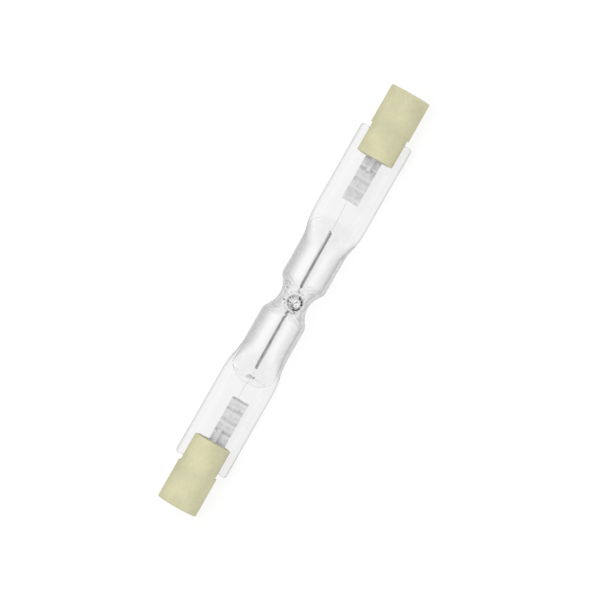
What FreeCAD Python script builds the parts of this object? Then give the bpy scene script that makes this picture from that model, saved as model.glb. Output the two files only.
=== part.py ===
import FreeCAD, Part
import math
import os

from FreeCAD import Vector

# A linear halogen bulb: a quartz tube drawn in to a neck at its middle, a filament of two coils,
# a flat pinch seal at each end and a slotted ceramic cap with a recessed contact on each seal.
# It is built with its axis along X, the wide face of the seals level and the exhaust tip on top.
# Then it is rolled about its axis until it lies on the tube and on one rail of each seal,
# as it comes to rest on a table, with the origin on the table under the middle of the bulb.
# All sizes are in millimetres and all angles in degrees.

# Standard sizes of a bulb with a recessed contact at each end, 74.9 from contact to contact
overall_length = 78.3
contact_recess_depth = 1.7
cap_diameter = 7.15

# Quartz tube and its neck
tube_diameter = 8.0
tube_wall = 0.6
neck_diameter = 5.3
neck_wall = 0.6
neck_slope = 35.0
neck_waist_bend = 3.8
neck_shoulder_bend = 2.2

# Flare, where the jaws that made the seal pressed the round tube flat and spread it sideways
flare_length = 7.0
press_height = 4.5
spread_inside = 0.4
spread_short = 1.4

# Pinch seal: a thin web between two rails, with ribs across the web
seal_length = 15.25
seal_end_gap = 0.9
seal_width = 9.5
seal_corner = 0.5
web_thickness = 2.2
rail_thickness = 3.1
rail_flat = 0.05
rail_flank = 0.5
rail_rounding = 1.0
rib_lead = 2.7
rib_pitch = 2.0
rib_count = 6
rib_width = 0.7
rib_height = 0.1

# Hollow of the tube, up to where each seal closes it
right_hollow_short = 1.3
left_hollow_short = 0.3
hollow_gap = 0.25
hollow_arch = 1.9
hollow_side_wall = 0.95
hollow_wing_height = 0.8

# Exhaust tip, melted shut on the neck
tip_height = 4.95
tip_root_height = 1.9
tip_waist_height = 3.1
tip_root_diameter = 4.0
tip_waist_diameter = 2.9
tip_dome_diameter = 2.1
tip_bore_height = 3.7
tip_bore_diameter = 1.5
tip_bore_end_diameter = 0.5
tip_lean_across = 6.0
tip_lean_along = 5.0

# Filament: a coiled strand in two lengths, joined by one straight stretch through the neck.
# It has fewer turns than the real one and each turn has flat sides, to keep its facets few.
coil_end_gap = 1.95
coil_inner = 2.5
coil_diameter = 0.56
strand_thickness = 0.16
strand_width = 0.17
coil_pitch = 0.7
steps_per_turn = 8
coil_right_offset = 0.24
coil_left_offset = -0.11

# Leads and foils
inner_lead_clearance = 0.07
inner_lead_in_coil = 1.2
inner_lead_on_foil = 0.8
weld_flat = 0.04
outer_lead_diameter = 0.8
outer_lead_on_foil = 3.4
foil_lead = 2.7
foil_length = 9.3
foil_width = 3.0
foil_thickness = 0.03
right_foil_offset = 0.0
left_foil_offset = -0.58
right_lead_offset = 0.44
left_lead_offset = 0.1

# Ceramic cap
cap_length = 12.25
slot_depth = 5.25
slot_clearance = 0.2
cap_edge = 0.1
recess_diameter = 5.0
contact_seat_depth = 0.5
fit_clearance = 0.05

# Contact: a rivet with a flat head and a hollow shank that holds the outer lead
contact_head_diameter = 4.0
contact_face_diameter = 3.3
contact_rim_depth = 0.25
contact_shank_diameter = 1.7
contact_shank_length = 3.0
contact_face_wall = 0.35
lead_clearance = 0.02

# Cement between the cap and the seal
cement_set_back = 0.35

# Worked-out sizes that several pieces share
tube_radius = tube_diameter / 2
hollow_radius = tube_radius - tube_wall
neck_radius = neck_diameter / 2
cap_radius = cap_diameter / 2
cap_outer_end = overall_length / 2
cap_inner_end = cap_outer_end - cap_length
slot_floor = cap_inner_end + slot_depth
seal_end = slot_floor - seal_end_gap
press_end = seal_end - seal_length
flare_start = press_end - flare_length
spread_end = press_end - spread_short
right_hollow_end = press_end - right_hollow_short
left_hollow_end = press_end - left_hollow_short
coil_outer = right_hollow_end - coil_end_gap
foil_start = press_end + foil_lead
rib_first = press_end + rib_lead
contact_face = cap_outer_end - contact_recess_depth
contact_seat = contact_face - contact_seat_depth
web_half = web_thickness / 2
rail_half = rail_thickness / 2
rail_width = rail_rounding + rail_flat
seal_half = seal_width / 2
slot_half = web_half + rib_height + slot_clearance
coil_radius = (coil_diameter - strand_thickness) / 2
inner_lead_radius = coil_diameter / 2 - strand_thickness - inner_lead_clearance
outer_lead_radius = outer_lead_diameter / 2
foil_top = weld_flat - outer_lead_radius
shank_bore_radius = outer_lead_radius + lead_clearance
beyond = overall_length
along = Vector(1, 0, 0)
sides = {"right": 1, "left": -1}


def line(start, end):
    return Part.LineSegment(start, end).toShape()


def s_bend(start, end, place):
    """Two equal arcs from start to end, level at both; place turns a flat point into one in space."""
    run, rise = end[0] - start[0], end[1] - start[1]
    radius = (run * run + rise * rise) / (4 * abs(rise))
    half_turn = math.atan(abs(rise / run))
    first = (
        start[0] + math.copysign(radius * math.sin(half_turn), run),
        start[1] + math.copysign(radius * (1 - math.cos(half_turn)), rise),
    )
    middle = ((start[0] + end[0]) / 2, (start[1] + end[1]) / 2)
    second = (start[0] + end[0] - first[0], start[1] + end[1] - first[1])
    return [
        Part.Arc(place(*start), place(*first), place(*middle)).toShape(),
        Part.Arc(place(*middle), place(*second), place(*end)).toShape(),
    ]


def lengthwise(x, z):
    return Vector(x, 0, z)


def turned(edges, axis=along):
    """A solid of revolution about an axis through the origin, from a closed outline."""
    face = Part.Face(Part.Wire(edges))
    return face.revolve(Vector(0, 0, 0), axis, 360)


def rod(start, end, radius):
    return Part.makeCylinder(radius, (end - start).Length, start, end - start)


def bent_wire(points, radius):
    """A round wire along straight stretches, with a ball at each bend."""
    pieces = [rod(a, b, radius) for a, b in zip(points, points[1:])]
    pieces += [Part.makeSphere(radius, p) for p in points[1:-1]]
    return pieces[0].fuse(pieces[1:]).removeSplitter()


def mirrored(shape, side):
    """The same shape at the other end of the bulb when side is -1."""
    return shape if side > 0 else shape.mirror(Vector(0, 0, 0), along)


def mitred(points):
    """Straight edges through the points and back to the first."""
    return [line(a, b) for a, b in zip(points, points[1:] + points[:1])]


def slab(edges, half_width, across):
    """A solid with the given closed outline that reaches half_width to both sides along across."""
    face = Part.Face(Part.Wire(Part.__sortEdges__(edges)))
    face.translate(across * -half_width)
    return face.extrude(across * (2 * half_width))


def neck_bends(body_radius, neck_radius, waist_bend, shoulder_bend):
    """Where the neck's waist arc, cone and shoulder arc meet, and the middle of the shoulder arc."""
    slope = math.radians(neck_slope)
    waist = (waist_bend * math.sin(slope), neck_radius + waist_bend * (1 - math.cos(slope)))
    shoulder_z = body_radius - shoulder_bend * (1 - math.cos(slope))
    shoulder = (waist[0] + (shoulder_z - waist[1]) / math.tan(slope), shoulder_z)
    body = (shoulder[0] + shoulder_bend * math.sin(slope), body_radius)
    middle = (
        body[0] - shoulder_bend * math.sin(slope / 2),
        body_radius - shoulder_bend * (1 - math.cos(slope / 2)),
    )
    return waist, shoulder, middle, body


def outer_body():
    """The tube between the flares, drawn in at its middle: an arc, then a cone and an arc each way."""
    waist, shoulder, middle, body = neck_bends(
        tube_radius, neck_radius, neck_waist_bend, neck_shoulder_bend
    )
    left, right = lengthwise(-waist[0], waist[1]), lengthwise(*waist)
    end = max(flare_start, body[0] + tube_wall)
    edges = [Part.Arc(left, lengthwise(0, neck_radius), right).toShape()]
    edges.append(line(lengthwise(-end, 0), lengthwise(end, 0)))
    for side in (1, -1):

        def place(x, z, side=side):
            return lengthwise(side * x, z)

        edges.append(line(place(*waist), place(*shoulder)))
        edges.append(Part.Arc(place(*shoulder), place(*middle), place(*body)).toShape())
        edges.append(line(place(*body), place(end, tube_radius)))
        edges.append(line(place(end, tube_radius), place(end, 0)))
    return turned(Part.__sortEdges__(edges))


def inner_body():
    """The hollow between the flares: round, with straight cones to a short waist at the neck."""
    low = neck_radius - neck_wall
    waist, shoulder, middle, body = neck_bends(
        hollow_radius, low, neck_waist_bend + neck_wall, neck_shoulder_bend - tube_wall
    )
    end = max(flare_start, body[0] + tube_wall)
    half = [(waist[0] / 3, low), waist, shoulder, body, (end, hollow_radius), (end, 0)]
    outline = [lengthwise(x, z) for x, z in half]
    outline += [lengthwise(-x, z) for x, z in reversed(half)]
    return turned(mitred(outline))


def pressed(end, start_half, end_half):
    """A slab whose faces close in up to end by tangent arcs and run on level, as the jaws left them."""
    edges = [
        line(lengthwise(flare_start, -start_half), lengthwise(flare_start, start_half)),
        line(lengthwise(beyond, -end_half), lengthwise(beyond, end_half)),
    ]
    for up in (1, -1):

        def place(x, z, up=up):
            return lengthwise(x, up * z)

        edges += s_bend((flare_start, start_half), (end, end_half), place)
        edges.append(line(place(end, end_half), place(beyond, end_half)))
    return slab(edges, seal_width, Vector(0, 1, 0))


def spread(start_half, end, end_half, last, half_height):
    """A slab that spreads from the flare's start to end by tangent arcs and then passes the last points."""
    edges = [line(Vector(flare_start, -start_half, 0), Vector(flare_start, start_half, 0))]
    corners = [(end, end_half), *last]
    for up in (1, -1):

        def place(x, y, up=up):
            return Vector(x, up * y, 0)

        edges += s_bend((flare_start, start_half), (end, end_half), place)
        edges += [line(place(*a), place(*b)) for a, b in zip(corners, corners[1:])]
    x, y = corners[-1]
    edges.append(line(Vector(x, -y, 0), Vector(x, y, 0)))
    return slab(edges, half_height, Vector(0, 0, 1))


def rail(side):
    """The thick edge of a seal: flank, flat and rounding, the same above and below."""
    flank_end = seal_half - rail_width
    inner = flank_end - 1.5 * rail_flank
    inner_half = web_half - (rail_half - web_half) / 2
    shoulder, low = seal_half - rail_rounding, rail_half - rail_rounding
    corner = rail_rounding * math.sqrt(0.5)

    def place(y, z):
        return Vector(flare_start, side * y, z)

    edges = [
        line(place(inner, -inner_half), place(inner, inner_half)),
        line(place(seal_half, -low), place(seal_half, low)),
    ]
    for up in (1, -1):
        middle = place(shoulder + corner, up * (low + corner))
        rounding = Part.Arc(place(shoulder, up * rail_half), middle, place(seal_half, up * low))
        edges.append(line(place(inner, up * inner_half), place(flank_end, up * rail_half)))
        edges.append(line(place(flank_end, up * rail_half), place(shoulder, up * rail_half)))
        edges.append(rounding.toShape())
    face = Part.Face(Part.Wire(Part.__sortEdges__(edges)))
    return face.extrude(along * (beyond - flare_start))


def seal_ribs():
    """Shallow rounded ribs across both faces of the web, left by the jaws that pressed it."""
    rib_radius = (rib_width * rib_width / 4 + rib_height * rib_height) / (2 * rib_height)
    reach = seal_half - rail_width - rail_flank / 2
    low = web_half - rib_height
    ribs = []
    for k in range(rib_count):
        x = rib_first + rib_pitch * k
        for up in (1, -1):
            centre = Vector(x, 0, up * (web_half + rib_height - rib_radius))
            bar = rod(centre - Vector(0, reach, 0), centre + Vector(0, reach, 0), rib_radius)
            corner = Vector(x - rib_width, -reach, low if up > 0 else -low - 3 * rib_height)
            ribs.append(bar.common(Part.makeBox(2 * rib_width, 2 * reach, 3 * rib_height, corner)))
    return ribs


def glass_end():
    """The right-hand flare and pinch seal, up to the seal's square-cut end with its corners off."""
    core = Part.makeCylinder(tube_radius, seal_end - flare_start, Vector(flare_start, 0, 0), along)
    core = core.common(pressed(press_end, press_height, web_half))
    wide = seal_half + fit_clearance
    last = [(seal_end - seal_corner - fit_clearance, wide), (seal_end, seal_half - seal_corner)]
    plan = spread(tube_radius - spread_inside, spread_end, wide, last, tube_radius)
    rails = [rail(side).common(plan) for side in (1, -1)]
    return core.fuse(rails + seal_ribs())


def hollow_end(end):
    """The right-hand end of the hollow: it flattens and widens to a thin arch where the seal closes it."""
    core = Part.makeCylinder(hollow_radius, beyond - flare_start, Vector(flare_start, 0, 0), along)
    wide = seal_half - hollow_side_wall
    arch_start = end - hollow_arch
    wings = spread(hollow_radius - spread_inside, arch_start, wide, [(beyond, wide)], hollow_wing_height)
    corners = [Vector(arch_start, tube_radius, 0), Vector(flare_start, tube_radius, 0)]
    corners += [Vector(p.x, -p.y, 0) for p in reversed(corners)]
    arch = [line(a, b) for a, b in zip(corners, corners[1:])]
    arch.append(Part.Arc(corners[3], Vector(end, 0, 0), corners[0]).toShape())
    closing = pressed(end, press_height - tube_wall, hollow_gap / 2)
    return core.fuse(wings).common(closing).common(slab(arch, seal_width, Vector(0, 0, 1)))


def leaned(shape):
    """Tilts something built straight up to the exhaust tip's own direction."""
    shape.rotate(Vector(0, 0, 0), Vector(1, 0, 0), tip_lean_across)
    shape.rotate(Vector(0, 0, 0), Vector(0, 1, 0), -tip_lean_along)
    return shape


def exhaust_tip():
    """The stub of the exhaust tube: it rises from the neck and ends in a melted dome."""
    root, waist, dome = tip_root_diameter / 2, tip_waist_diameter / 2, tip_dome_diameter / 2
    dome_height = tip_height - dome
    corner = dome * math.sqrt(0.5)
    outline = [(0, 0), (root, 0), (root, tip_root_height), (waist, tip_waist_height), (dome, dome_height)]
    places = [lengthwise(x, z) for x, z in outline]
    edges = [line(a, b) for a, b in zip(places, places[1:])]
    top, rounding = lengthwise(0, tip_height), lengthwise(corner, dome_height + corner)
    edges.append(Part.Arc(places[-1], rounding, top).toShape())
    edges.append(line(top, places[0]))
    return leaned(turned(edges, Vector(0, 0, 1)))


def tip_bore():
    """What is left of the exhaust tube's bore, which tapers inside the tip."""
    return leaned(Part.makeCone(tip_bore_diameter / 2, tip_bore_end_diameter / 2, tip_bore_height))


def filament_point(x, up=0.0):
    """A point of the filament's own axis, which runs slightly aslant in the tube."""
    share = (x + coil_outer) / (2 * coil_outer)
    y = coil_left_offset + (coil_right_offset - coil_left_offset) * share
    return Vector(x, y, up)


def turn_corners(x, turn):
    """The strand's section at a share of a turn, at x: near inner, far inner, far outer, near outer."""
    angle = 2 * math.pi * turn
    corners = []
    for across, out in ((-1, -1), (1, -1), (1, 1), (-1, 1)):
        reach = coil_radius + out * strand_thickness / 2
        edge = x + across * strand_width / 2
        corners.append(Vector(edge, reach * math.sin(angle), -reach * math.cos(angle)))
    return corners


def link_corners(x):
    """The mitred section at x, where the strand turns between a coil and the straight stretch."""
    half = strand_width / 2
    corners = []
    for across, out in ((-1, -1), (1, -1), (1, 1), (-1, 1)):
        corners.append(Vector(x + across * half, -across * half, -coil_radius - out * strand_thickness / 2))
    return corners


def coil_turns(start, end):
    """The sections of one coil between the middles of its first and last turns' ends."""
    turns = max(1, round((end - start) / coil_pitch))
    steps = turns * steps_per_turn
    return [turn_corners(start + (end - start) * k / steps, k / steps_per_turn) for k in range(steps + 1)]


def skinned(sections):
    """A solid with flat sides through four-cornered sections."""
    faces = [Part.Face(Part.makePolygon(ring + ring[:1])) for ring in (sections[0], sections[-1])]
    for a, b in zip(sections, sections[1:]):
        for i in range(4):
            j = (i + 1) % 4
            for corners in ((a[i], a[j], b[j]), (a[i], b[j], b[i])):
                faces.append(Part.Face(Part.makePolygon([*corners, corners[0]])))
    shell = Part.Shell(faces)
    shell.sewShape()
    solid = Part.Solid(shell)
    return solid if solid.Volume > 0 else Part.Solid(shell.reversed())


def filament():
    """Both coils and the straight stretch between them, wound from one strand."""
    outer = coil_outer - strand_width / 2
    inner = coil_inner + strand_width / 2
    sections = coil_turns(-outer, -inner)[:-1] + [link_corners(-inner), link_corners(inner)]
    whole = skinned(sections + coil_turns(inner, outer)[1:])
    slant = math.atan((coil_right_offset - coil_left_offset) / (2 * coil_outer))
    whole.rotate(Vector(0, 0, 0), Vector(0, 0, 1), math.degrees(slant))
    whole.translate(filament_point(0))
    return whole


def flattened(wire):
    """Cuts away what of a wire would lie below the foil's upper face."""
    under = Part.makeBox(overall_length, cap_diameter, cap_diameter)
    under.translate(Vector(-overall_length / 2, -cap_radius, foil_top - cap_diameter))
    return wire.cut(under)


def inner_lead(side, offset):
    """A thin wire welded on the foil that runs into the core of the coil."""
    height = foil_top + inner_lead_radius - weld_flat / 2
    on_foil = Vector(side * (foil_start + inner_lead_on_foil), offset, height)
    mouth = filament_point(side * (coil_outer + inner_lead_radius))
    inside = filament_point(side * (coil_outer - inner_lead_in_coil))
    return flattened(bent_wire([on_foil, mouth, inside], inner_lead_radius))


def outer_lead(side):
    """A stout wire from the foil's outer end, through the seal's end, into the contact's shank."""
    start = foil_start + foil_length - outer_lead_on_foil
    middle = foil_start + foil_length
    end = contact_face - contact_face_wall
    welded = flattened(rod(Vector(start, 0, 0), Vector(middle, 0, 0), outer_lead_radius))
    free = rod(Vector(middle, 0, 0), Vector(end, 0, 0), outer_lead_radius)
    return mirrored(welded.fuse(free), side)


def foil(side, offset):
    """The thin strip that carries the current through the seal."""
    corner = Vector(foil_start, offset - foil_width / 2, foil_top - foil_thickness)
    return mirrored(Part.makeBox(foil_length, foil_width, foil_thickness, corner), side)


def envelope(metal):
    """The whole quartz body, hollow, with the metal sealed in its ends cut out of it."""
    end = glass_end()
    glass = outer_body().fuse([end, mirrored(end, -1), exhaust_tip()])
    ends = [hollow_end(right_hollow_end), mirrored(hollow_end(left_hollow_end), -1)]
    hollow = inner_body().fuse([*ends, tip_bore()])
    return glass.cut(hollow).cut(metal).removeSplitter()


def cap_slot():
    """The cap's slot, open towards the seal, a little past the cap's own sides."""
    corner = Vector(slot_floor - 2 * slot_depth, -cap_diameter, -slot_half)
    return Part.makeBox(2 * slot_depth, 2 * cap_diameter, 2 * slot_half, corner)


def cap():
    """The right-hand ceramic cap: round, with a slot for the seal and a recess for the contact."""
    body = Part.makeCylinder(cap_radius, cap_length, Vector(cap_inner_end, 0, 0), along)
    body = body.makeChamfer(cap_edge, [e for e in body.Edges if e.BoundBox.XLength < 0.01])
    hollows = [cap_slot()]
    for radius, start in (
        (contact_shank_diameter / 2 + fit_clearance, cap_inner_end),
        (contact_head_diameter / 2 + fit_clearance, contact_seat),
        (recess_diameter / 2, contact_face),
    ):
        hollows.append(Part.makeCylinder(radius, cap_length, Vector(start, 0, 0), along))
    return body.cut(hollows)


def contact():
    """The right-hand contact: a round head with an eased rim on a hollow shank."""
    head, face, shank = contact_head_diameter / 2, contact_face_diameter / 2, contact_shank_diameter / 2
    rim = contact_face - contact_rim_depth
    shank_end = contact_seat - contact_shank_length
    bore_end = contact_face - contact_face_wall
    outline = [
        lengthwise(contact_face, 0),
        lengthwise(contact_face, face),
        lengthwise(rim, head),
        lengthwise(contact_seat, head),
        lengthwise(contact_seat, shank),
        lengthwise(shank_end, shank),
        lengthwise(shank_end, shank_bore_radius),
        lengthwise(bore_end, shank_bore_radius),
        lengthwise(bore_end, 0),
    ]
    return turned(mitred(outline))


def cement(sealed, side):
    """The cement that fills the cap's slot round the seal, set back from the edge of the cap."""
    start = cap_inner_end + cement_set_back
    barrel = Part.makeCylinder(cap_radius - cement_set_back, slot_floor - start, Vector(start, 0, 0), along)
    return mirrored(barrel.common(cap_slot()), side).cut(sealed)


def rest_roll():
    """The roll about the axis at which a rail's rounded edge is as low as the tube.

    Where the seal is too narrow to reach that low, the bulb lies on its tube with the edge straight down.
    """
    across, up = seal_half - rail_rounding, rail_half - rail_rounding
    drop, reach = tube_radius - rail_rounding, math.hypot(across, up)
    steepness = math.asin(drop / reach) if drop < reach else math.pi / 2
    return math.degrees(steepness - math.atan2(up, across))


def bulb():
    """Every piece by name, in the frame in which the seals are level."""
    pieces = {}
    foil_offsets = {"right": right_foil_offset, "left": left_foil_offset}
    lead_offsets = {"right": right_lead_offset, "left": left_lead_offset}
    for name, side in sides.items():
        pieces[name + "_inner_lead"] = inner_lead(side, lead_offsets[name])
        pieces[name + "_outer_lead"] = outer_lead(side)
        pieces[name + "_foil"] = foil(side, foil_offsets[name])
    pieces["envelope"] = envelope(list(pieces.values()))
    pieces["filament"] = filament()
    for name, side in sides.items():
        pieces[name + "_cap"] = mirrored(cap(), side)
        pieces[name + "_contact"] = mirrored(contact(), side)
        sealed = [pieces["envelope"], pieces[name + "_outer_lead"], pieces[name + "_foil"]]
        pieces[name + "_cement"] = cement(sealed, side)
    return pieces


def main():
    os.makedirs("parts", exist_ok=True)
    roll = rest_roll()
    for name, shape in bulb().items():
        shape.rotate(Vector(0, 0, 0), along, roll)
        shape.translate(Vector(0, 0, tube_radius))
        shape.exportStep(os.path.join("parts", name + ".step"))
        print(name, "solids", len(shape.Solids), "valid", shape.isValid(), "volume", round(shape.Volume, 3))
    print("roll", round(roll, 2))


main()
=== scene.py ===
"""A linear halogen bulb lying on a pale floor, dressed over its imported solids.

The shapes are worked out in the bulb's own frame: x runs along the bulb, y across the wide face of
the seals and z out of that face, on the side of the exhaust tip. The bulb lies rolled about x, so
place() turns that frame into the row's. Everything is in metres.
"""

import math

import bpy
import numpy as np
from bpy.props import FloatProperty, FloatVectorProperty, PointerProperty
from mathutils import Matrix, Vector


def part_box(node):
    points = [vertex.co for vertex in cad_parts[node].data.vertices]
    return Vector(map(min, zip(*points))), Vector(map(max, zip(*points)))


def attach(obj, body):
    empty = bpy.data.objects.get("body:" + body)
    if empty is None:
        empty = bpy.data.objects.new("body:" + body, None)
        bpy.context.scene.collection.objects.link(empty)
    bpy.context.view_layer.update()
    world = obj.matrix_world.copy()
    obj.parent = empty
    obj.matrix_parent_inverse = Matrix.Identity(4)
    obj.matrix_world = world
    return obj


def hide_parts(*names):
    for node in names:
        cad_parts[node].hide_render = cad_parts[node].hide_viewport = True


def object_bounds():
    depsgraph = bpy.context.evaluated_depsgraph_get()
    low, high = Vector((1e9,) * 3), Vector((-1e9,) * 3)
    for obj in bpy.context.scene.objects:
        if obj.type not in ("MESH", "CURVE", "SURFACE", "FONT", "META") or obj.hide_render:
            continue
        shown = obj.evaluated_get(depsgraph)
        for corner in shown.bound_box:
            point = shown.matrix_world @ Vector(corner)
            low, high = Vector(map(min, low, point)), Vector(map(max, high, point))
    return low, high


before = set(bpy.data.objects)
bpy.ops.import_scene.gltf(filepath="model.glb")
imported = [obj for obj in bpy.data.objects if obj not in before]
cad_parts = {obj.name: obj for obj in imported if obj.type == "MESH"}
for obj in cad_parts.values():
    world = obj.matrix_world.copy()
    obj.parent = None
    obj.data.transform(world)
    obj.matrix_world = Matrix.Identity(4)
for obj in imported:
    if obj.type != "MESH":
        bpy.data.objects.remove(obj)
cad_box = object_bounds()

bl_info = {
    "name": "Linear halogen bulb",
    "version": (1, 0, 0),
    "blender": (4, 5, 0),
    "location": "3D View > Sidebar > Bulb",
    "description": "Builds a linear halogen bulb with its glass, filament, caps and stage",
    "category": "Object",
}

mm = 0.001


def middle_of(node):
    """The middle of a solid's box."""
    low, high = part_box(node)
    return (low + high) / 2


def width_direction(node):
    """The direction across a flat strip that runs along x, as its y and z in the row."""
    points = np.array([vertex.co[1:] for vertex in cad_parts[node].data.vertices])
    across = np.linalg.svd(points - points.mean(axis=0), full_matrices=False)[2][0]
    return across * np.sign(across[0])


# How the bulb lies: the height of its axis, and the directions across and out of its wide face
axis_height = middle_of("right_cap").z
across = width_direction("right_foil")
facing = np.array([-across[1], across[0]])

seal_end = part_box("envelope")[1].x


class GlassSettings(bpy.types.PropertyGroup):
    """Sizes and look of the quartz envelope."""

    tube_diameter: FloatProperty(
        name="Tube diameter",
        description="Outside of the round tube",
        default=2 * axis_height,
        unit="LENGTH",
    )
    tube_wall: FloatProperty(
        name="Tube wall",
        description="Thickness of the round tube's wall",
        default=0.5 * mm,
        unit="LENGTH",
    )
    neck_diameter: FloatProperty(
        name="Neck diameter",
        description="Outside of the neck at its waist",
        default=5.3 * mm,
        unit="LENGTH",
    )
    neck_wall: FloatProperty(
        name="Neck wall",
        description="Wall at the waist of the neck",
        default=0.55 * mm,
        unit="LENGTH",
    )
    seal_width: FloatProperty(
        name="Seal width",
        description="Width over both rails of a pinch seal",
        default=9.5 * mm,
        unit="LENGTH",
    )
    web_thickness: FloatProperty(
        name="Web thickness",
        description="Glass between the rails of a seal",
        default=2.2 * mm,
        unit="LENGTH",
    )
    rail_thickness: FloatProperty(
        name="Rail thickness",
        description="Thickness of a seal over its rail",
        default=3.1 * mm,
        unit="LENGTH",
    )
    rib_height: FloatProperty(
        name="Rib height",
        description="Height of the cross ribs on the web",
        default=0.11 * mm,
        unit="LENGTH",
    )
    ior: FloatProperty(
        name="Index of refraction", description="How strongly the quartz bends light", default=1.458
    )
    colour: FloatVectorProperty(
        name="Glass colour",
        description="Tint of the quartz",
        default=(1.0, 1.0, 1.0),
        subtype="COLOR",
        min=0.0,
        max=1.0,
    )
    # Painted shade: the glass's colour where it is seen at a glancing angle, greyer than the clear quartz
    edge_shade_colour: FloatVectorProperty(
        name="Edge colour",
        description="Tint of the quartz where it is seen at a glancing angle",
        default=(0.45, 0.45, 0.455),
        subtype="COLOR",
        min=0.0,
        max=1.0,
    )


class MetalSettings(bpy.types.PropertyGroup):
    """Sizes and colours of the filament, leads, foils and contacts."""

    coil_diameter: FloatProperty(
        name="Coil diameter",
        description="Outside of the filament's coils",
        default=0.64 * mm,
        unit="LENGTH",
    )
    wire_diameter: FloatProperty(
        name="Wire diameter",
        description="Thickness of the filament's wire",
        default=0.16 * mm,
        unit="LENGTH",
    )
    coil_pitch: FloatProperty(
        name="Coil pitch",
        description="Distance from one turn to the next",
        default=0.31 * mm,
        unit="LENGTH",
    )
    filament_colour: FloatVectorProperty(
        name="Filament colour",
        description="Grey of the tungsten wire",
        default=(0.43, 0.43, 0.44),
        subtype="COLOR",
        min=0.0,
        max=1.0,
    )
    foil_colour: FloatVectorProperty(
        name="Foil colour",
        description="Grey of the foils and leads",
        default=(0.88, 0.88, 0.89),
        subtype="COLOR",
        min=0.0,
        max=1.0,
    )
    contact_colour: FloatVectorProperty(
        name="Contact colour",
        description="Grey of the contacts in the caps",
        default=(0.6, 0.59, 0.57),
        subtype="COLOR",
        min=0.0,
        max=1.0,
    )


class CeramicSettings(bpy.types.PropertyGroup):
    """Colours of the caps and their cement."""

    cap_colour: FloatVectorProperty(
        name="Cap colour",
        description="Cream of the steatite caps",
        default=(0.576, 0.551, 0.356),
        subtype="COLOR",
        min=0.0,
        max=1.0,
    )
    cement_colour: FloatVectorProperty(
        name="Cement colour",
        description="Colour of the cement between cap and seal",
        default=(0.55, 0.52, 0.42),
        subtype="COLOR",
        min=0.0,
        max=1.0,
    )


class StageSettings(bpy.types.PropertyGroup):
    """Camera, light and floor."""

    camera_distance: FloatProperty(
        name="Camera distance",
        description="From the camera to the bulb",
        default=0.64,
        unit="LENGTH",
    )
    lens: FloatProperty(name="Lens", description="Focal length in millimetres", default=232.2, min=1.0)
    bulb_angle: FloatProperty(
        name="Bulb angle",
        description="How far the bulb leans from upright in the picture",
        default=math.radians(29.66),
        subtype="ANGLE",
    )
    lamp_power: FloatProperty(name="Lamp power", description="Power of the main lamp in watts", default=2.1)
    surround: FloatProperty(
        name="Surround",
        description="Brightness of the room around the pale floor",
        default=0.35,
        min=0.0,
        subtype="FACTOR",
    )


def place(points):
    """Points of the bulb's own frame, put where the bulb lies in the row."""
    x, y, z = np.asarray(points, float).T
    return np.stack(
        [x, y * across[0] + z * facing[0], y * across[1] + z * facing[1] + axis_height], axis=-1
    )


def ease(x, start, end):
    """0 before start, 1 after end and a smooth step between them."""
    share = np.clip((np.asarray(x, float) - start) / (end - start), 0, 1)
    return share * share * (3 - 2 * share)


def stations(*stops):
    """Places from stop to stop. Each stop is a place and the number of steps up to it."""
    places = [np.array([stops[0][0]])]
    for (start, _), (end, steps) in zip(stops, stops[1:]):
        places.append(np.linspace(start, end, steps + 1)[1:])
    return np.concatenate(places)


def whole_ring(upper, lower):
    """A closed ring from its upper and lower quarters, which run from the side to the middle."""
    return np.concatenate(
        [upper, upper[-2::-1] * (-1, 1), lower[1:] * (-1, -1), lower[-2:0:-1] * (1, -1)]
    )


def round_quarter(steps, gather=0.0):
    """A quarter of the unit circle, with the points gathered towards its top."""
    share = np.linspace(0, 1, steps + 1)
    angle = math.pi / 2 * ((1 + gather) * share - gather * share * share)
    return np.stack([np.cos(angle), np.sin(angle)], axis=-1)


def seal_quarter(steps, half_width, half_web, half_rail):
    """A quarter of the seal's section: the rail's side, its rounded edge, its flank and the web."""
    rounding, rail, flank = 1.0 * mm, 1.05 * mm, 1.1 * mm
    # How many steps the side, the edge, the crest's flat and the flank take; the web has the rest
    side, edge, top, slope = (round(steps * share) for share in (0.06, 0.26, 0.02, 0.22))
    low = half_rail - rounding
    points = [(half_width, low * k / side) for k in range(side)]
    for k in range(edge):
        angle = math.pi / 2 * k / edge
        points.append((half_width - rounding * (1 - math.cos(angle)), low + rounding * math.sin(angle)))
    crest, foot = half_width - rail, half_width - rail - flank
    for k in range(top):
        points.append((half_width - rounding + (crest - half_width + rounding) * k / top, half_rail))
    for k in range(slope):
        share = k / slope
        points.append((crest - flank * share, half_rail + (half_web - half_rail) * ease(share, 0, 1)))
    web = steps - side - edge - top - slope
    points += [(foot * (1 - k / web), half_web) for k in range(web + 1)]
    return np.array(points, float)


def neck_radius(x, tube, neck, waist_bend, shoulder_bend, slope=math.radians(35)):
    """The radius of a necked tube at x from its waist: two bends with a cone between them."""
    x = np.abs(x)
    turn = 1 - math.cos(slope)
    cone = waist_bend * math.sin(slope)
    low, high = neck + waist_bend * turn, tube - shoulder_bend * turn
    shoulder = cone + (high - low) / math.tan(slope)
    end = shoulder + shoulder_bend * math.sin(slope)
    waist_part = neck + waist_bend - np.sqrt(np.maximum(waist_bend**2 - x**2, 0))
    cone_part = low + (x - cone) * math.tan(slope)
    shoulder_part = tube - shoulder_bend + np.sqrt(np.maximum(shoulder_bend**2 - (end - x) ** 2, 0))
    return np.select([x < cone, x < shoulder, x < end], [waist_part, cone_part, shoulder_part], tube)


# The bends of the neck, outside and in the hollow
waist_bend = 3.8 * mm
shoulder_bend = 2.2 * mm
inner_waist_bend = 4.35 * mm
inner_shoulder_bend = 1.6 * mm

# Where the rings that lie closest for the tip end, and those of the neck
close_end = 2.4 * mm
neck_end = 4.2 * mm

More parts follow.
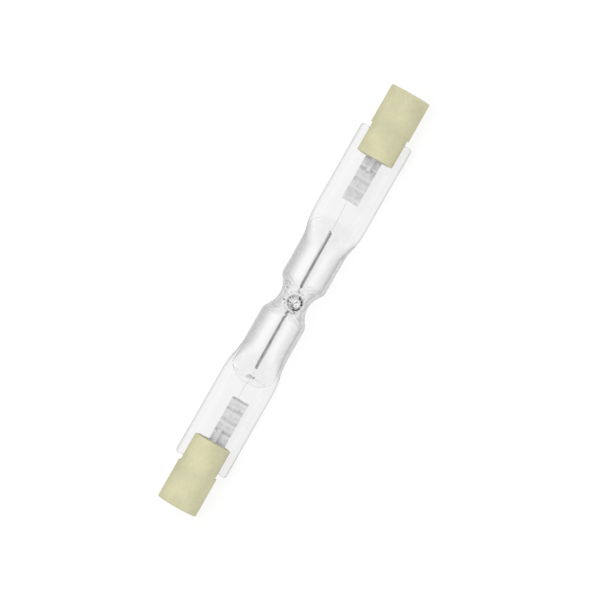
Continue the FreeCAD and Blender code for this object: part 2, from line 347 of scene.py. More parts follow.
# The flare, where the round tube turns into the flat seal
flare_start = 9.0 * mm
press_end = 16.0 * mm
spread_start = 9.6 * mm
spread_end = 14.8 * mm
seal_corner = 0.5 * mm

# The ribs that the press left across the web
first_rib = 18.7 * mm
rib_pitch = 2.0 * mm
rib_count = 4
rib_half = 0.55 * mm

# The hollow's ends: the side, where it ends, half the width of its blunt end, the two powers that bend
# its arch, and half the height to which it is pressed
hollow_ends = (
    (-1, 15.7 * mm, 0.5 * mm, 1.6, 0.6, 0.1 * mm),
    (1, 14.7 * mm, 1.2 * mm, 2.2, 0.5, 0.07 * mm),
)

# The exhaust tip on the neck: it leans, and its directions are the slopes of its axis
tip_lean = (-math.tan(math.radians(5)), -math.tan(math.radians(7.5)))
tip_height = 4.9 * mm
tip_shoulder = 3.1 * mm
tip_radius = 1.3 * mm
tip_reach = 2.15 * mm
tip_root = 2.45 * mm
tip_point = 1.4
bore_height = 3.7 * mm
bore_shoulder = 2.0 * mm
bore_radius = 0.75 * mm
bore_reach = 1.15 * mm
bore_root = 1.45 * mm
bore_point = 1.3

# The small pits that the flame left beside the tip: x, y, radius and depth
pits = (
    (-1.78 * mm, -0.9 * mm, 0.32 * mm, 0.4 * mm),
    (1.39 * mm, 1.9 * mm, 0.22 * mm, 0.25 * mm),
    (-0.57 * mm, 1.36 * mm, 0.22 * mm, 0.25 * mm),
)


def outer_rings(glass):
    """The rings of the envelope's outside, from the left end to the right one."""
    tube, neck = glass.tube_diameter / 2, glass.neck_diameter / 2
    half_width = glass.seal_width / 2
    half_web, half_rail = glass.web_thickness / 2, glass.rail_thickness / 2
    half = stations(
        (0, 0), (close_end, 46), (neck_end, 18), (flare_start, 8), (press_end, 40),
        (seal_end - seal_corner, 56), (seal_end, 6),
    )
    places = np.concatenate([-half[:0:-1], half])
    # The upper side, which has the tip, is finer than the lower one
    upper, lower = 52, 36
    round_ring = whole_ring(round_quarter(upper, 0.45), round_quarter(lower))
    seal_ring = whole_ring(
        seal_quarter(upper, half_width, half_web, half_rail),
        seal_quarter(lower, half_width, half_web, half_rail),
    )
    radius = neck_radius(places, tube, neck, waist_bend, shoulder_bend)
    pressing = ease(np.abs(places), flare_start, press_end)
    spreading = ease(np.abs(places), spread_start, spread_end)
    shares = np.stack([spreading, pressing], axis=-1)[:, None, :]
    rings = round_ring * radius[:, None, None] * (1 - shares) + seal_ring * shares
    raised_ribs = ribs(places, rings[:, :, 0], glass.rib_height) * np.sign(rings[:, :, 1])
    rings[:, :, 1] += raised_ribs * shares[:, :, 1]
    rings[:, :, 1] += unevenness(places, rings[:, :, 0], rings[:, :, 1]) * shares[:, :, 1]
    to_end = np.clip((np.abs(places) - seal_end + seal_corner) / seal_corner, 0, 1)
    rings[:, :, 0] *= (1 - (1 - np.sqrt(1 - to_end**2)) * seal_corner / half_width)[:, None]
    return join_places(places, trimmed(rings))


def trimmed(rings):
    """Rings drawn in where they would reach past the solids' box, beside the axis or above it."""
    share_of_box = 0.9998
    beside = np.abs(rings @ np.array([across[0], facing[0]])) / min(-cad_box[0].y, cad_box[1].y)
    above = np.abs(rings @ np.array([across[1], facing[1]])) / axis_height
    reach = np.maximum(beside, above).max(axis=1) / share_of_box
    return rings / np.maximum(reach, 1)[:, None, None]


def ribs(places, y, height):
    """The height of the cross ribs on the web, at the places along the seal and at y across it.

    The two beside each cap are pressed too shallow to show.
    """
    web_edge, rail_foot = 2.5 * mm, 3.2 * mm
    beyond = np.abs(places) - first_rib
    number = np.clip(np.round(beyond / rib_pitch), 0, rib_count - 1)
    away = np.clip(np.abs(beyond - number * rib_pitch) / rib_half, 0, 1)
    hump = (1 + np.cos(math.pi * away)) / 2
    return height * hump[:, None] * (1 - ease(np.abs(y), web_edge, rail_foot))


def unevenness(places, y, z):
    """Slight waves that the press left in the glass of a seal, deepest near the flare.

    The numbers in the waves are how fast they turn along the seal and across it, per millimetre.
    """
    least, more = 0.007 * mm, 0.018 * mm
    deep_until, shallow_from = 15 * mm, 21 * mm
    web_edge, rail_foot = 2.6 * mm, 3.4 * mm
    x = places[:, None] / mm
    across = y / mm + 1.7 * np.sign(z)
    waves = np.sin(2.3 * x + 1.9 * across) + np.sin(1.3 * x - 2.7 * across + 1.0)
    waves += 0.7 * np.sin(4.1 * x + 0.8) * np.sin(3.1 * across)
    depth = least + more * (1 - ease(np.abs(places), deep_until, shallow_from))[:, None]
    return waves * depth * (1 - ease(np.abs(y), web_edge, rail_foot))


def hollow_rings(glass):
    """The rings of the hollow inside the envelope, from its left end to its right one."""
    tube, neck = glass.tube_diameter / 2 - glass.tube_wall, glass.neck_diameter / 2 - glass.neck_wall
    # Half the width that it reaches in the flare, the length of its arch and that of its rounded end
    wide, arch, blunt = 3.7 * mm, 1.9 * mm, 0.2 * mm
    press_start = flare_start - 0.4 * mm
    # How nearly the rounded end shuts, and the half height below which the wrinkles shrink
    nearly_shut, roomy = 0.995, 0.4 * mm
    sides = []
    for side, end, flat, first, second, thin in hollow_ends:
        places = stations((0, 0), (neck_end, 72), (flare_start, 6), (end - arch, 24), (end, 24))
        radius = neck_radius(places, tube, neck, inner_waist_bend, inner_shoulder_bend)
        pressing = ease(places, press_start, end)
        half_height = radius * (1 - pressing) + thin * pressing
        rounding = np.clip((places - end + blunt) / blunt, 0, nearly_shut)
        half_height *= np.sqrt(1 - rounding**2)
        half_width = radius + (wide - tube) * ease(places, spread_start, spread_end)
        closing = np.clip((places - end + arch) / arch, 0, 1)
        half_width = flat + (half_width - flat) * (1 - closing**first) ** second
        sizes = np.stack([half_width, half_height], axis=-1)
        sides.append((side * places, sizes))
    places = np.concatenate([sides[0][0][:0:-1], sides[1][0]])
    sizes = np.concatenate([sides[0][1][:0:-1], sides[1][1]])
    ring = whole_ring(round_quarter(36, 0.3), round_quarter(24))
    rings = ring * sizes[:, None, :]
    room = np.clip(sizes[:, 1] / roomy, 0, 1)[:, None]
    wrinkles = crumple(places, rings[:, :, 0])
    rings[:, :, 1] += wrinkles * np.sign(rings[:, :, 1]) * np.abs(ring[:, 1]) * room
    return join_places(places, rings)


def crumple(places, y):
    """Wrinkles in the wall of the hollow: at the neck, and where the seals closed on it.

    Two folds, one up and one down, run slanting over each shoulder of the neck, where the soft glass was
    drawn in. The left end has ripples as well. The depths and places are in millimetres, and the numbers
    in the waves are how fast they turn along the bulb and across it, per millimetre.
    """
    neck_depth, seal_depth, fine_depth, ripple_depth, fold_depth = 0.05, 0.07, 0.07, 0.15, 0.1
    fold_place, fold_slant, fold_width, fold_apart, second_fold = 1.6, 0.5, 0.14, 0.4, 0.7
    x, across = places[:, None] / mm, y / mm
    waves = np.sin(3.1 * x + 2.3 * across + 0.6) * np.sin(2.2 * x - 3.4 * across)
    waves += 0.6 * np.sin(5.3 * x - 1.9 * across) * np.sin(4.7 * across + 1.1)
    fine = np.sin(9 * x + 5 * across) * np.sin(7 * across - 6 * x + 1)
    at_neck = 1 - ease(np.abs(x), 0.8, 2.6)
    at_seal = ease(-x, 13.4, 14.4) * 1.6 + ease(np.abs(x), 12.0, 13.5) * 0.4
    ripples = np.sin(13 * across + 4 * x) * np.sin(2.5 * x + across) * ease(-x, 13.9, 14.3)
    beyond = np.abs(x) - fold_place - fold_slant * np.abs(across)
    folds = np.exp(-((beyond / fold_width) ** 2))
    folds -= second_fold * np.exp(-(((beyond - fold_apart) / fold_width) ** 2))
    folds *= ease(np.abs(across), 0.8, 1.4)
    wrinkles = waves * (neck_depth * at_neck + seal_depth * at_seal) + fine * fine_depth * at_neck
    return mm * (wrinkles + ripples * ripple_depth + folds * fold_depth)


def join_places(places, rings):
    """Rings of y and z, with their x put in front."""
    x = np.broadcast_to(places[:, None, None], rings.shape[:2] + (1,))
    return np.concatenate([x, rings], axis=-1)


def raised(rings, reach, profile, height_at):
    """Draws the upper side of the rings out to a stub on the tip's axis.

    profile gives a radius, a height and a hold for each share from the axis, 0, to the reach, 1, and
    for the angle about the axis.
    height_at gives the height of the plain surface at x and y.
    """
    upper_side = 0.2 * mm
    points = rings.copy()
    x, y, z = points[..., 0], points[..., 1], points[..., 2]
    base = np.maximum(z, 0)
    dx, dy = x - tip_lean[0] * base, y - tip_lean[1] * base
    away = np.hypot(dx, dy)
    near = (away < reach) & (z > upper_side)
    share = np.where(near, away / reach, 1)
    radius, height, hold = profile(share, np.arctan2(dy, dx))
    scale = np.where(away > 0, radius / np.maximum(away, 1e-9), 1)
    new_x = dx * scale + tip_lean[0] * height
    new_y = dy * scale + tip_lean[1] * height
    plain = height_at(new_x, new_y)
    new_z = height * hold + plain * (1 - hold)
    points[..., 0] = np.where(near, new_x, x)
    points[..., 1] = np.where(near, new_y, y)
    points[..., 2] = np.where(near, new_z, z)
    return points


def stub(top, shoulder, radius, root, reach, point):
    """The profile of a stub: a dome, a nearly straight side and a root that runs out to the reach.

    point is the power that makes its dome blunt or pointed.
    The flame left it slightly uneven, so turn, the angle about its axis, adds small dents.
    """
    dome_end, side_end = 0.52, 0.78
    foot = radius * 1.08
    dent_depth, bulge_limit = 0.07, 0.03

    def profile(share, turn):
        dents = 0.5 * np.sin(3 * turn + 0.7) + 0.4 * np.sin(7 * turn) + 0.4 * np.sin(12 * turn + 2)
        bend = np.clip(share / dome_end, 0, 1) * math.pi / 2
        dome_radius = radius * np.sin(bend) ** point
        dome_height = shoulder + (top - shoulder) * np.cos(bend)
        down = np.clip((share - dome_end) / (side_end - dome_end), 0, 1)
        out = np.clip((share - side_end) / (1 - side_end), 0, 1)
        side_radius = radius + (foot - radius) * down**2
        side_height = shoulder + (root - shoulder) * down
        root_radius = foot + (reach - foot) * out
        uneven = dents * dent_depth * ease(share, 0, 0.5) * (1 - ease(share, 0.7, 1))
        stretches = [share < dome_end, share < side_end]
        new_radius = np.select(stretches, [dome_radius, side_radius], root_radius)
        new_radius = new_radius * (1 - np.maximum(uneven, -bulge_limit))
        new_height = np.select(stretches, [dome_height, side_height], root)
        return new_radius, new_height, 1 - ease(out, 0, 0.9)

    return profile


def pitted(points):
    """Sinks the pits into the upper side of the neck."""
    for x, y, radius, depth in pits:
        away = np.hypot(points[..., 0] - x, points[..., 1] - y)
        points[..., 2] -= np.where(points[..., 2] > 0, depth * np.exp(-2 * (away / radius) ** 2), 0)
    return points


def neck_surface(tube, neck, waist_bend, shoulder_bend):
    """The height of a neck's upper surface at x and y."""

    def height_at(x, y):
        radius = neck_radius(x, tube, neck, waist_bend, shoulder_bend)
        return np.sqrt(np.maximum(radius**2 - y**2, (0.1 * mm) ** 2))

    return height_at


def skin(rings, first=0, inward=False):
    """Faces between rings and over both ends, numbered from first."""
    rows, count = rings.shape[:2]
    faces = []
    for row in range(rows - 1):
        for k in range(count):
            a, b = first + row * count + k, first + row * count + (k + 1) % count
            faces.append((a, b, b + count, a + count))
    start = tuple(first + k for k in range(count))
    end = tuple(first + (rows - 1) * count + k for k in range(count))
    faces += [start[::-1], end]
    return [face[::-1] for face in faces] if inward else faces


def make_piece(name, points, faces, material, stands_for, sharp=40):
    """A mesh piece in the row's frame that stands for solids and rides with the bulb."""
    mesh = bpy.data.meshes.new(name)
    mesh.from_pydata(points.tolist(), [], faces)
    mesh.polygons.foreach_set("use_smooth", [True] * len(mesh.polygons))
    mesh.set_sharp_from_angle(angle=math.radians(sharp))
    mesh.materials.append(material)
    piece = bpy.data.objects.new(name, mesh)
    bpy.context.scene.collection.objects.link(piece)
    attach(piece, "root")
    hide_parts(*stands_for)
    return piece


class Shade:
    """A number in a shader. Arithmetic on it adds Math nodes."""

    def __init__(self, finish, socket):
        self.finish = finish
        self.socket = socket

    def maths(self, operation, *values):
        return self.finish.node("ShaderNodeMath", {"operation": operation}, dict(enumerate(values)))[0]

    def __add__(self, other):
        return self.maths("ADD", self, other)

    __radd__ = __add__

    def __sub__(self, other):
        return self.maths("SUBTRACT", self, other)

    def __rsub__(self, other):
        return self.maths("SUBTRACT", other, self)

    def __mul__(self, other):
        return self.maths("MULTIPLY", self, other)

    def __gt__(self, other):
        return self.maths("GREATER_THAN", self, other)

    def power(self, other):
        return self.maths("POWER", self, other)

    def above(self, low):
        return self.maths("MAXIMUM", self, low)

    def angle_from(self, other):
        """The angle whose sine and cosine go as this value and the other one."""
        return self.maths("ARCTAN2", self, other)

    def wave(self):
        return self.maths("COSINE", self)

    def size(self):
        return self.maths("ABSOLUTE", self)

    def between(self, low, high):
        """0 at low, 1 at high and a smooth step between them."""
        ranged = self.finish.node(
            "ShaderNodeMapRange",
            {"interpolation_type": "SMOOTHSTEP"},
            {"Value": self, "From Min": low, "From Max": high},
        )
        return ranged["Result"]


class Node:
    """A node whose outputs are read as shades, by name or by number."""

    def __init__(self, finish, node):
        self.finish = finish
        self.made = node

    def __getitem__(self, key):
        return Shade(self.finish, self.made.outputs[key])


class Finish:
    """A node tree with a short way to add nodes."""

    def __init__(self, tree):
        self.tree = tree
        tree.nodes.clear()

    def node(self, kind, settings=None, values=None):
        """A node of this kind, with its settings set before the values or links of its sockets."""
        made = self.tree.nodes.new(kind)
        for name, value in (settings or {}).items():
            setattr(made, name, value)
        for key, value in (values or {}).items():
            if isinstance(value, Shade):
                self.tree.links.new(value.socket, made.inputs[key])
            else:
                made.inputs[key].default_value = value
        return Node(self, made)

    def mix_colour(self, share, first, second):
        """Between two colours by a share."""
        mixed = self.tree.nodes.new("ShaderNodeMix")
        mixed.data_type = "RGBA"
        for name, value in (("Factor_Float", share), ("A_Color", first), ("B_Color", second)):
            socket = next(s for s in mixed.inputs if s.identifier == name)
            if isinstance(value, Shade):
                self.tree.links.new(value.socket, socket)
            else:
                socket.default_value = value
        return Shade(self, next(s for s in mixed.outputs if s.identifier == "Result_Color"))

    def position(self):
        """x, y and z of the shaded point in the row's frame."""
        coordinates = self.node("ShaderNodeTexCoord")["Object"]
        return self.node("ShaderNodeSeparateXYZ", {}, {"Vector": coordinates})

    def noise(self, scale, detail=4.0, roughness=0.55):
        """Cloudy noise from 0 to 1, with features of about 1 / scale metres."""
        coordinates = self.node("ShaderNodeTexCoord")["Object"]
        return self.node(
            "ShaderNodeTexNoise",
            {},
            {"Vector": coordinates, "Scale": scale, "Detail": detail, "Roughness": roughness},
        )["Fac"]

    def bump(self, height, distance, strength=1.0):
        """A bumped normal from a height."""
        values = {"Height": height, "Distance": distance, "Strength": strength}
        return self.node("ShaderNodeBump", {}, values)["Normal"]

    def surface(self, shade, output="ShaderNodeOutputMaterial"):
        """Sends a shader to the output."""
        self.node(output, {}, {"Surface": shade})


def new_finish(name):
    """An empty material and its finish."""
    material = bpy.data.materials.new(name)
    material.use_nodes = True
    return material, Finish(material.node_tree)


def opaque(colour, strength=1.0):
    """A colour of three parts with its alpha, darkened or lightened by a strength."""
    return (*(part * strength for part in colour), 1.0)


def quartz(settings):
    """Clear quartz glass with painted shade: its colour turns grey where it is seen at a glancing angle.

    It lets the lamps' light through, and rays that it has turned back more than five times.
    """
    most_turns = 5.5
    clearness = 0.96
    material, finish = new_finish("quartz")
    # Painted shade: the colour turns towards the edge shade colour where the glass is seen at a glancing
    # angle
    facing_away = finish.node("ShaderNodeLayerWeight", {}, {"Blend": 0.5})["Facing"]
    edge = facing_away.between(0.1, 0.7)
    glass = finish.node(
        "ShaderNodeBsdfPrincipled",
        {},
        {
            "Base Color": finish.mix_colour(edge, opaque(settings.colour), opaque(settings.edge_shade_colour)),
            "Roughness": 0.0,
            "IOR": settings.ior,
            "Transmission Weight": 1.0,
        },
    )["BSDF"]
    see_through = {"Color": opaque(settings.colour, clearness)}
    clear = finish.node("ShaderNodeBsdfTransparent", {}, see_through)["BSDF"]
    path = finish.node("ShaderNodeLightPath")
    through = path["Is Shadow Ray"].above(path["Glossy Depth"] > most_turns)
    finish.surface(finish.node("ShaderNodeMixShader", {}, {0: through, 1: glass, 2: clear})[0])
    return material


def metal(name, colour, roughness, spots=0.25, scale=2500.0, metallic=1.0):
    """A dull metal with cloudy spots, which darken and lighten its colour by the share spots."""
    material, finish = new_finish(name)
    cloud = finish.noise(scale)
    spotted = finish.mix_colour(cloud, opaque(colour, 1 - spots), opaque(colour, 1 + spots))
    finish.surface(
        finish.node(
            "ShaderNodeBsdfPrincipled",
            {},
            {
                "Base Color": spotted,
                "Metallic": metallic,
                "Roughness": cloud * 0.15 + roughness,
                "Normal": finish.bump(cloud, 0.01 * mm, 0.4),
            },
        )["BSDF"]
    )
    return material


def foil_metal(name, colour):
    """Thin foil that was creased by the ribs of the press: to each rib a dark line of painted shade and a
    pale line of painted highlight.

    On the right foil the dark lines fade towards the tube. The left one has a fold at its end, darkened
    with painted shade.
    """
    first_line, wander, fold_place = 19.0 * mm, 0.5 * mm, -18.9 * mm
    fade_start, fade_end = 19.5 * mm, 24.0 * mm
    # How far a painted highlight line follows its painted shade line, as an angle of the wave that sets
    # both
    highlight_behind = 0.7
    # How strongly the painted shade lines, the painted highlight lines, the fold's painted shade and the
    # mottling show, and the mottling's middle
    crease_shade, light, fold_shade, mottle, clean_level = 0.45, 0.2, 0.15, 1.5, 0.41
    material, finish = new_finish(name)
    x = finish.position()["X"]
    cloud, blot, grain = finish.noise(1100.0), finish.noise(420.0, 2.0), finish.noise(2600.0)
    phase = (x.size() - first_line + cloud * wander) * (math.pi / rib_pitch)
    depth = 1 - (x > 0.0) * (1 - x.between(fade_start, fade_end))
    # Painted shade along each crease, fading towards the tube on the right foil
    line = phase.wave().size().between(0.9, 1.0) * blot * depth
    # Painted highlight: a pale line beside each crease
    painted_highlight = (phase - highlight_behind).wave().size().between(0.88, 1.0)
    # Painted shade over the fold at the left foil's end
    fold_shade_mask = 1 - (x - fold_place).size().between(0.14 * mm, 0.24 * mm)
    spots = (cloud * 0.5 + grain * 0.5 - clean_level) * mottle
    shade = line * crease_shade - painted_highlight * light + spots + fold_shade_mask * fold_shade
    finish.surface(
        finish.node(
            "ShaderNodeBsdfPrincipled",
            {},
            {
                "Base Color": finish.mix_colour(shade, opaque(colour), opaque(colour, 0.3)),
                "Metallic": 0.1,
                "Roughness": 0.5,
                "Normal": finish.bump(cloud, 0.05 * mm, 0.5),
            },
        )["BSDF"]
    )
    return material


def steatite(settings):
    """Cream ceramic, cloudy and slightly rough."""
    material, finish = new_finish("steatite")
    cloud, grain = finish.noise(260.0, 5.0), finish.noise(2600.0, 3.0)
    shade = cloud * 0.7 + grain * 0.3
    colour = finish.mix_colour(
        shade.between(0.3, 0.75), opaque(settings.cap_colour, 1.08), opaque(settings.cap_colour, 0.88)
    )
    finish.surface(
        finish.node(
            "ShaderNodeBsdfPrincipled",
            {},
            {
                "Base Color": colour,
                "Roughness": 0.6 + grain * 0.2,
                "Normal": finish.bump(cloud * 0.5 + grain * 0.5, 0.06 * mm, 0.6),
            },
        )["BSDF"]
    )
    return material


def cement_finish(settings):
    """Rough grey cement."""
    material, finish = new_finish("cement")
    grain = finish.noise(3500.0, 5.0)
    colour = finish.mix_colour(
        grain, opaque(settings.cement_colour, 0.8), opaque(settings.cement_colour, 1.15)
    )
    finish.surface(
        finish.node(
            "ShaderNodeBsdfPrincipled",
            {},
            {"Base Color": colour, "Roughness": 0.9, "Normal": finish.bump(grain, 0.08 * mm)},
        )["BSDF"]
    )
    return material


def dress(node, material, sharp=35):
    """Gives a solid its finish."""
    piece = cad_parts[node]
    piece.data.materials.clear()
    piece.data.materials.append(material)
    piece.data.polygons.foreach_set("use_smooth", [True] * len(piece.data.polygons))
    piece.data.set_sharp_from_angle(angle=math.radians(sharp))


class BULB_OT_envelope(bpy.types.Operator):
    """Build the quartz envelope with its neck, exhaust tip, flares and seals"""

    bl_idname = "bulb.envelope"
    bl_label = "Envelope"

    def execute(self, context):
        glass = context.scene.bulb_glass
        tube, neck = glass.tube_diameter / 2, glass.neck_diameter / 2
        outside = raised(
            outer_rings(glass),
            tip_reach,
            stub(tip_height, tip_shoulder, tip_radius, tip_root, tip_reach, tip_point),
            neck_surface(tube, neck, waist_bend, shoulder_bend),
        )
        outside = pitted(outside)
        tube, neck = tube - glass.tube_wall, neck - glass.neck_wall
        inside = raised(
            hollow_rings(glass),
            bore_reach,
            stub(bore_height, bore_shoulder, bore_radius, bore_root, bore_reach, bore_point),
            neck_surface(tube, neck, inner_waist_bend, inner_shoulder_bend),
        )
        count = outside.shape[0] * outside.shape[1]
        faces = skin(outside) + skin(inside, first=count, inward=True)
        points = np.concatenate([outside.reshape(-1, 3), inside.reshape(-1, 3)])
        make_piece("quartz_envelope", place(points), faces, quartz(glass), ["envelope"])
        return {"FINISHED"}


# Where each coil starts and ends along the bulb
coil_start = 2.5 * mm
coil_end = 12.75 * mm


def coil_line(side, settings):
    """The line of one coil's wire, from the neck outwards."""
    steps_per_turn = 20
    radius = (settings.coil_diameter - settings.wire_diameter) / 2
    turns = round((coil_end - coil_start) / settings.coil_pitch)
    share = np.linspace(0, 1, turns * steps_per_turn + 1)
    angle = 2 * math.pi * turns * share
    x = side * (coil_start + (coil_end - coil_start) * share)
    return np.stack([x, coil_axis(x) - side * radius * np.sin(angle), -radius * np.cos(angle)], axis=-1)


def coil_axis(x):
    """How far across the tube the filament's axis lies at x: it runs slightly aslant."""
    right, left = 0.24 * mm, -0.11 * mm
    return left + (right - left) * (x + coil_end) / (2 * coil_end)


def tube_along(line, radius, sides=8):
    """Rings round a line, kept from twisting."""
    ways = np.gradient(line, axis=0)
    ways /= np.linalg.norm(ways, axis=1)[:, None]
    rings = []
    out = np.array([0.0, 0.0, 1.0])
    for point, way in zip(line, ways):
        out = out - way * (out @ way)
        out /= np.linalg.norm(out)
        beside = np.cross(way, out)
        angles = 2 * math.pi * np.arange(sides) / sides
        rings.append(point + radius * (np.cos(angles)[:, None] * out + np.sin(angles)[:, None] * beside))
    return np.array(rings)


class BULB_OT_filament(bpy.types.Operator):
    """Wind the filament: two coils joined by one straight stretch through the neck"""

    bl_idname = "bulb.filament"
    bl_label = "Filament"

    def execute(self, context):
        settings = context.scene.bulb_metal
        left, right = coil_line(-1, settings), coil_line(1, settings)
        link_steps = 13
        share = np.linspace(0, 1, link_steps + 1)[1:-1, None]
        link = left[0] * (1 - share) + right[0] * share
        line = np.concatenate([left[::-1], link, right])
        rings = tube_along(line, settings.wire_diameter / 2)
        points = place(rings.reshape(-1, 3))
        finish = metal("tungsten", settings.filament_colour, 0.45, spots=1.0, scale=1100.0, metallic=0.4)
        make_piece("coiled_filament", points, skin(rings), finish, ["filament"], sharp=60)
        return {"FINISHED"}


class BULB_OT_leads(bpy.types.Operator):
    """Give the leads and the foils their metals"""

    bl_idname = "bulb.leads"
    bl_label = "Leads and foils"

    def execute(self, context):
        settings = context.scene.bulb_metal
        foil = foil_metal("molybdenum_foil", settings.foil_colour)
        lead = metal("molybdenum_lead", settings.foil_colour, 0.4, metallic=0.3)
        thin = metal("tungsten_lead", settings.foil_colour, 0.4, metallic=0.2)
        for side in ("right", "left"):
            dress(side + "_foil", foil)
            dress(side + "_outer_lead", lead)
            dress(side + "_inner_lead", thin)
        return {"FINISHED"}


class BULB_OT_caps(bpy.types.Operator):
    """Give the caps, their contacts and their cement their finishes"""

    bl_idname = "bulb.caps"
    bl_label = "Caps"

    def execute(self, context):
        settings = context.scene.bulb_ceramic
        ceramic, cement = steatite(settings), cement_finish(settings)
        contact = metal("contact_metal", context.scene.bulb_metal.contact_colour, 0.3, spots=0.1)
        for side in ("right", "left"):
            dress(side + "_cap", ceramic)
            dress(side + "_cement", cement)
            dress(side + "_contact", contact)
        return {"FINISHED"}


# The pale floor: how far behind the bulb and past its ends its painted pool of light reaches, how bright
# the painted light is there and farther off, and the share of its light that is its own, so that the shadow
# on it is soft
pool = 16 * mm
pool_half_length = 30 * mm
near_floor = 0.93
far_floor = 0.6
own_light = 0.88

# How bright the room looks in gloss: in front, low at one side, behind the bulb, and in its two panels
front_level = 0.43
side_level = 0.1
back_level = 1.1
panel_level = 1.1


def floor_finish():
    """A pale floor that the camera sees white, with a soft shadow. A painted pool of light makes it greyer
    far behind the bulb.
    """
    material, finish = new_finish("pale_floor")
    position = finish.position()
    x, y = position["X"], position["Y"]
    beside = (x.size() - pool_half_length) * 0.5
    away = (beside.above(0.0) * beside.above(0.0) + y.above(0.0) * y.above(0.0)).power(0.5)
    path = finish.node("ShaderNodeLightPath")
    # Painted pool of light: the floor darkens farther from the bulb, for every ray but the camera's
    painted_pool_shade = away.between(pool, 4 * pool) * (near_floor - far_floor) + (1 - near_floor)
    painted_pool_shade = painted_pool_shade * (1 - path["Is Camera Ray"])
    level = finish.mix_colour(painted_pool_shade, (1.0, 1.0, 1.0, 1.0), (0.0, 0.0, 0.0, 1.0))
    paper = finish.node("ShaderNodeBsdfDiffuse", {}, {"Color": level})["BSDF"]
    white = finish.node("ShaderNodeEmission", {}, {"Color": level, "Strength": 1.0})["Emission"]
    finish.surface(finish.node("ShaderNodeMixShader", {}, {0: own_light, 1: paper, 2: white})[0])
    return material


def room_light(world, surround):
    """A dim room with a soft panel to each side of the camera, seen in the gloss of the glass.

    turn is a ray's angle about the bulb's axis, from straight out of the wide face. On the side where it
    is positive the room grows dark and is bright behind, and on the other side it stays even.
    Rough pieces get a light that is brighter from above and from past both ends of the bulb, and the
    camera sees plain white.
    """
    panel_turn, panel_half, panel_edge = math.radians(43), math.radians(12), math.radians(24)
    dark_from, dark_full = math.radians(58), math.radians(74)
    bright_from, bright_full = math.radians(94), math.radians(108)
    from_above, from_ends = 0.2, 0.5
    finish = Finish(world.node_tree)
    way = finish.node("ShaderNodeTexCoord")["Generated"]
    parts = finish.node("ShaderNodeSeparateXYZ", {}, {"Vector": way})
    forward = parts["Y"] * float(facing[0]) + parts["Z"] * float(facing[1])
    sideways = parts["Y"] * float(across[0]) + parts["Z"] * float(across[1])
    turn = sideways.angle_from(forward)
    panel = 1 - (turn.size() - panel_turn).size().between(panel_half, panel_edge)
    panel = panel * (1 - parts["X"].size().between(0.55, 0.85))
    side = turn.between(dark_from, dark_full) * (side_level - front_level)
    back = turn.between(bright_from, bright_full) * (back_level - side_level)
    room = side + back + front_level
    seen = panel * (panel_level - room) + room
    ends = parts["X"].size().power(3.0)
    rough = parts["Z"].between(-0.2, 1.0) * from_above + surround + ends * from_ends
    path = finish.node("ShaderNodeLightPath")
    diffuse, camera = path["Is Diffuse Ray"], path["Is Camera Ray"]
    level = (rough * diffuse + seen * (1 - diffuse)) * (1 - camera) + camera
    light = finish.node("ShaderNodeBackground", {}, {"Color": (1.0, 1.0, 1.0, 1.0), "Strength": level})
    finish.surface(light["Background"], "ShaderNodeOutputWorld")


# How far the soft lamps are from the bulb, and how wide
lamp_distance = 0.6
lamp_size = 0.5

# The camera's tilt along the bulb, and how far its picture is shifted, as shares of the picture's width
camera_tilt = math.radians(0.9)
picture_shift = (0.0104, 0.0008)
sensor_width = 36.0


def from_the_front(turn, distance):
    """The point at a distance from the bulb, turned about it from straight in front of the wide face."""
    y = facing[0] * math.cos(turn) + across[0] * math.sin(turn)
    z = facing[1] * math.cos(turn) + across[1] * math.sin(turn)
    return Vector((0, y * distance, axis_height + z * distance))


def add_floor(scene, reach):
    """A square floor, reach metres from its middle to each side."""
    corners = [(-reach, -reach, 0), (reach, -reach, 0), (reach, reach, 0), (-reach, reach, 0)]
    mesh = bpy.data.meshes.new("floor")
    mesh.from_pydata(corners, [], [(0, 1, 2, 3)])
    mesh.materials.append(floor_finish())
    floor = bpy.data.objects.new("floor", mesh)
    scene.collection.objects.link(floor)


def add_lamp(name, place_at, aim, size, power):
    """A square soft lamp that looks at a point. It isn't seen in gloss, where the room's panels are."""
    data = bpy.data.lights.new(name, "AREA")
    data.size, data.energy = size, power
    lamp = bpy.data.objects.new(name, data)
    lamp.location = place_at
    lamp.rotation_mode = "QUATERNION"
    lamp.rotation_quaternion = (Vector(aim) - Vector(place_at)).to_track_quat("-Z", "Y")
    lamp.visible_glossy = False
    lamp.visible_transmission = False
    bpy.context.scene.collection.objects.link(lamp)


class BULB_OT_stage(bpy.types.Operator):
    """Add the floor, the light and the camera"""

    bl_idname = "bulb.stage"
    bl_label = "Stage"

    def execute(self, context):
        stage = context.scene.bulb_stage
        scene = context.scene
        scene.view_settings.view_transform = "Standard"
        add_floor(scene, 3.0)
        world = bpy.data.worlds.new("room")
        world.use_nodes = True
        scene.world = world
        room_light(world, stage.surround)
        middle = Vector((0, 0, axis_height))
        for name, turn, power in (("key", 40, stage.lamp_power), ("fill", -30, stage.lamp_power / 2)):
            place_at = from_the_front(math.radians(turn), lamp_distance)
            add_lamp(name, place_at, middle, lamp_size, power)
        add_camera(scene, stage)
        return {"FINISHED"}


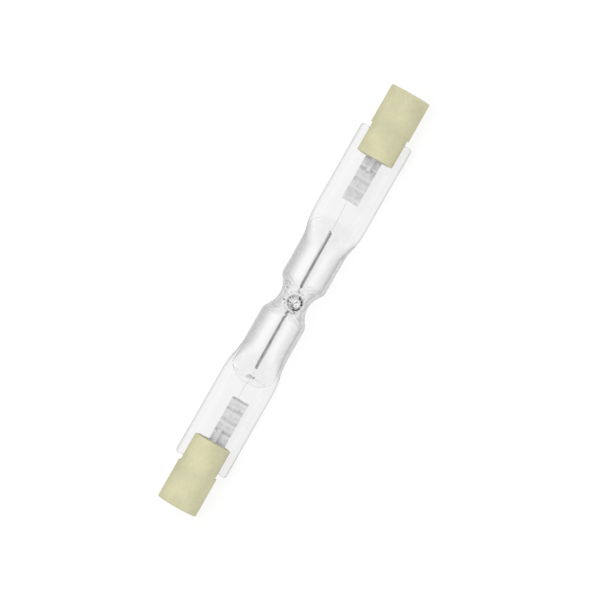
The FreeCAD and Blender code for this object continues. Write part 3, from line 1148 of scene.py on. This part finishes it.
def add_camera(scene, stage):
    """A camera that looks squarely at the wide face of the seals, turned so that the bulb leans."""
    axis, out = Vector((1, 0, 0)), Vector((0, facing[0], facing[1]))
    back = out * math.cos(camera_tilt) + axis * math.sin(camera_tilt)
    along = axis * math.cos(camera_tilt) - out * math.sin(camera_tilt)
    side = along.cross(back)
    up = along * math.cos(stage.bulb_angle) - side * math.sin(stage.bulb_angle)
    right = up.cross(back)
    data = bpy.data.cameras.new("camera")
    data.lens, data.sensor_width = stage.lens, sensor_width
    data.shift_x, data.shift_y = picture_shift
    data.clip_start = 0.01
    camera = bpy.data.objects.new("camera", data)
    stands_at = Vector((0, 0, axis_height)) + back * stage.camera_distance
    turned = Matrix((right, up, back)).transposed().to_4x4()
    camera.matrix_world = Matrix.Translation(stands_at) @ turned
    scene.collection.objects.link(camera)
    scene.camera = camera


class BULB_PT_panel(bpy.types.Panel):
    """Everything that builds the bulb"""

    bl_label = "Linear halogen bulb"
    bl_idname = "BULB_PT_panel"
    bl_space_type = "VIEW_3D"
    bl_region_type = "UI"
    bl_category = "Bulb"

    def draw(self, context):
        for group, operators in (
            (context.scene.bulb_glass, ("bulb.envelope",)),
            (context.scene.bulb_metal, ("bulb.filament", "bulb.leads")),
            (context.scene.bulb_ceramic, ("bulb.caps",)),
            (context.scene.bulb_stage, ("bulb.stage",)),
        ):
            box = self.layout.box()
            for name in group.bl_rna.properties.keys():
                if name not in ("rna_type", "name"):
                    box.prop(group, name)
            for operator in operators:
                box.operator(operator)


settings_groups = {
    "bulb_glass": GlassSettings,
    "bulb_metal": MetalSettings,
    "bulb_ceramic": CeramicSettings,
    "bulb_stage": StageSettings,
}
operators = (BULB_OT_envelope, BULB_OT_filament, BULB_OT_leads, BULB_OT_caps, BULB_OT_stage)


def register():
    for made in (*settings_groups.values(), *operators, BULB_PT_panel):
        bpy.utils.register_class(made)
    for name, group in settings_groups.items():
        setattr(bpy.types.Scene, name, PointerProperty(type=group))


def unregister():
    for name in settings_groups:
        delattr(bpy.types.Scene, name)
    for made in (BULB_PT_panel, *operators[::-1], *settings_groups.values()):
        bpy.utils.unregister_class(made)


def main():
    register()
    bpy.ops.bulb.envelope()
    bpy.ops.bulb.filament()
    bpy.ops.bulb.leads()
    bpy.ops.bulb.caps()
    bpy.ops.bulb.stage()


if __name__ == "__main__":
    main()
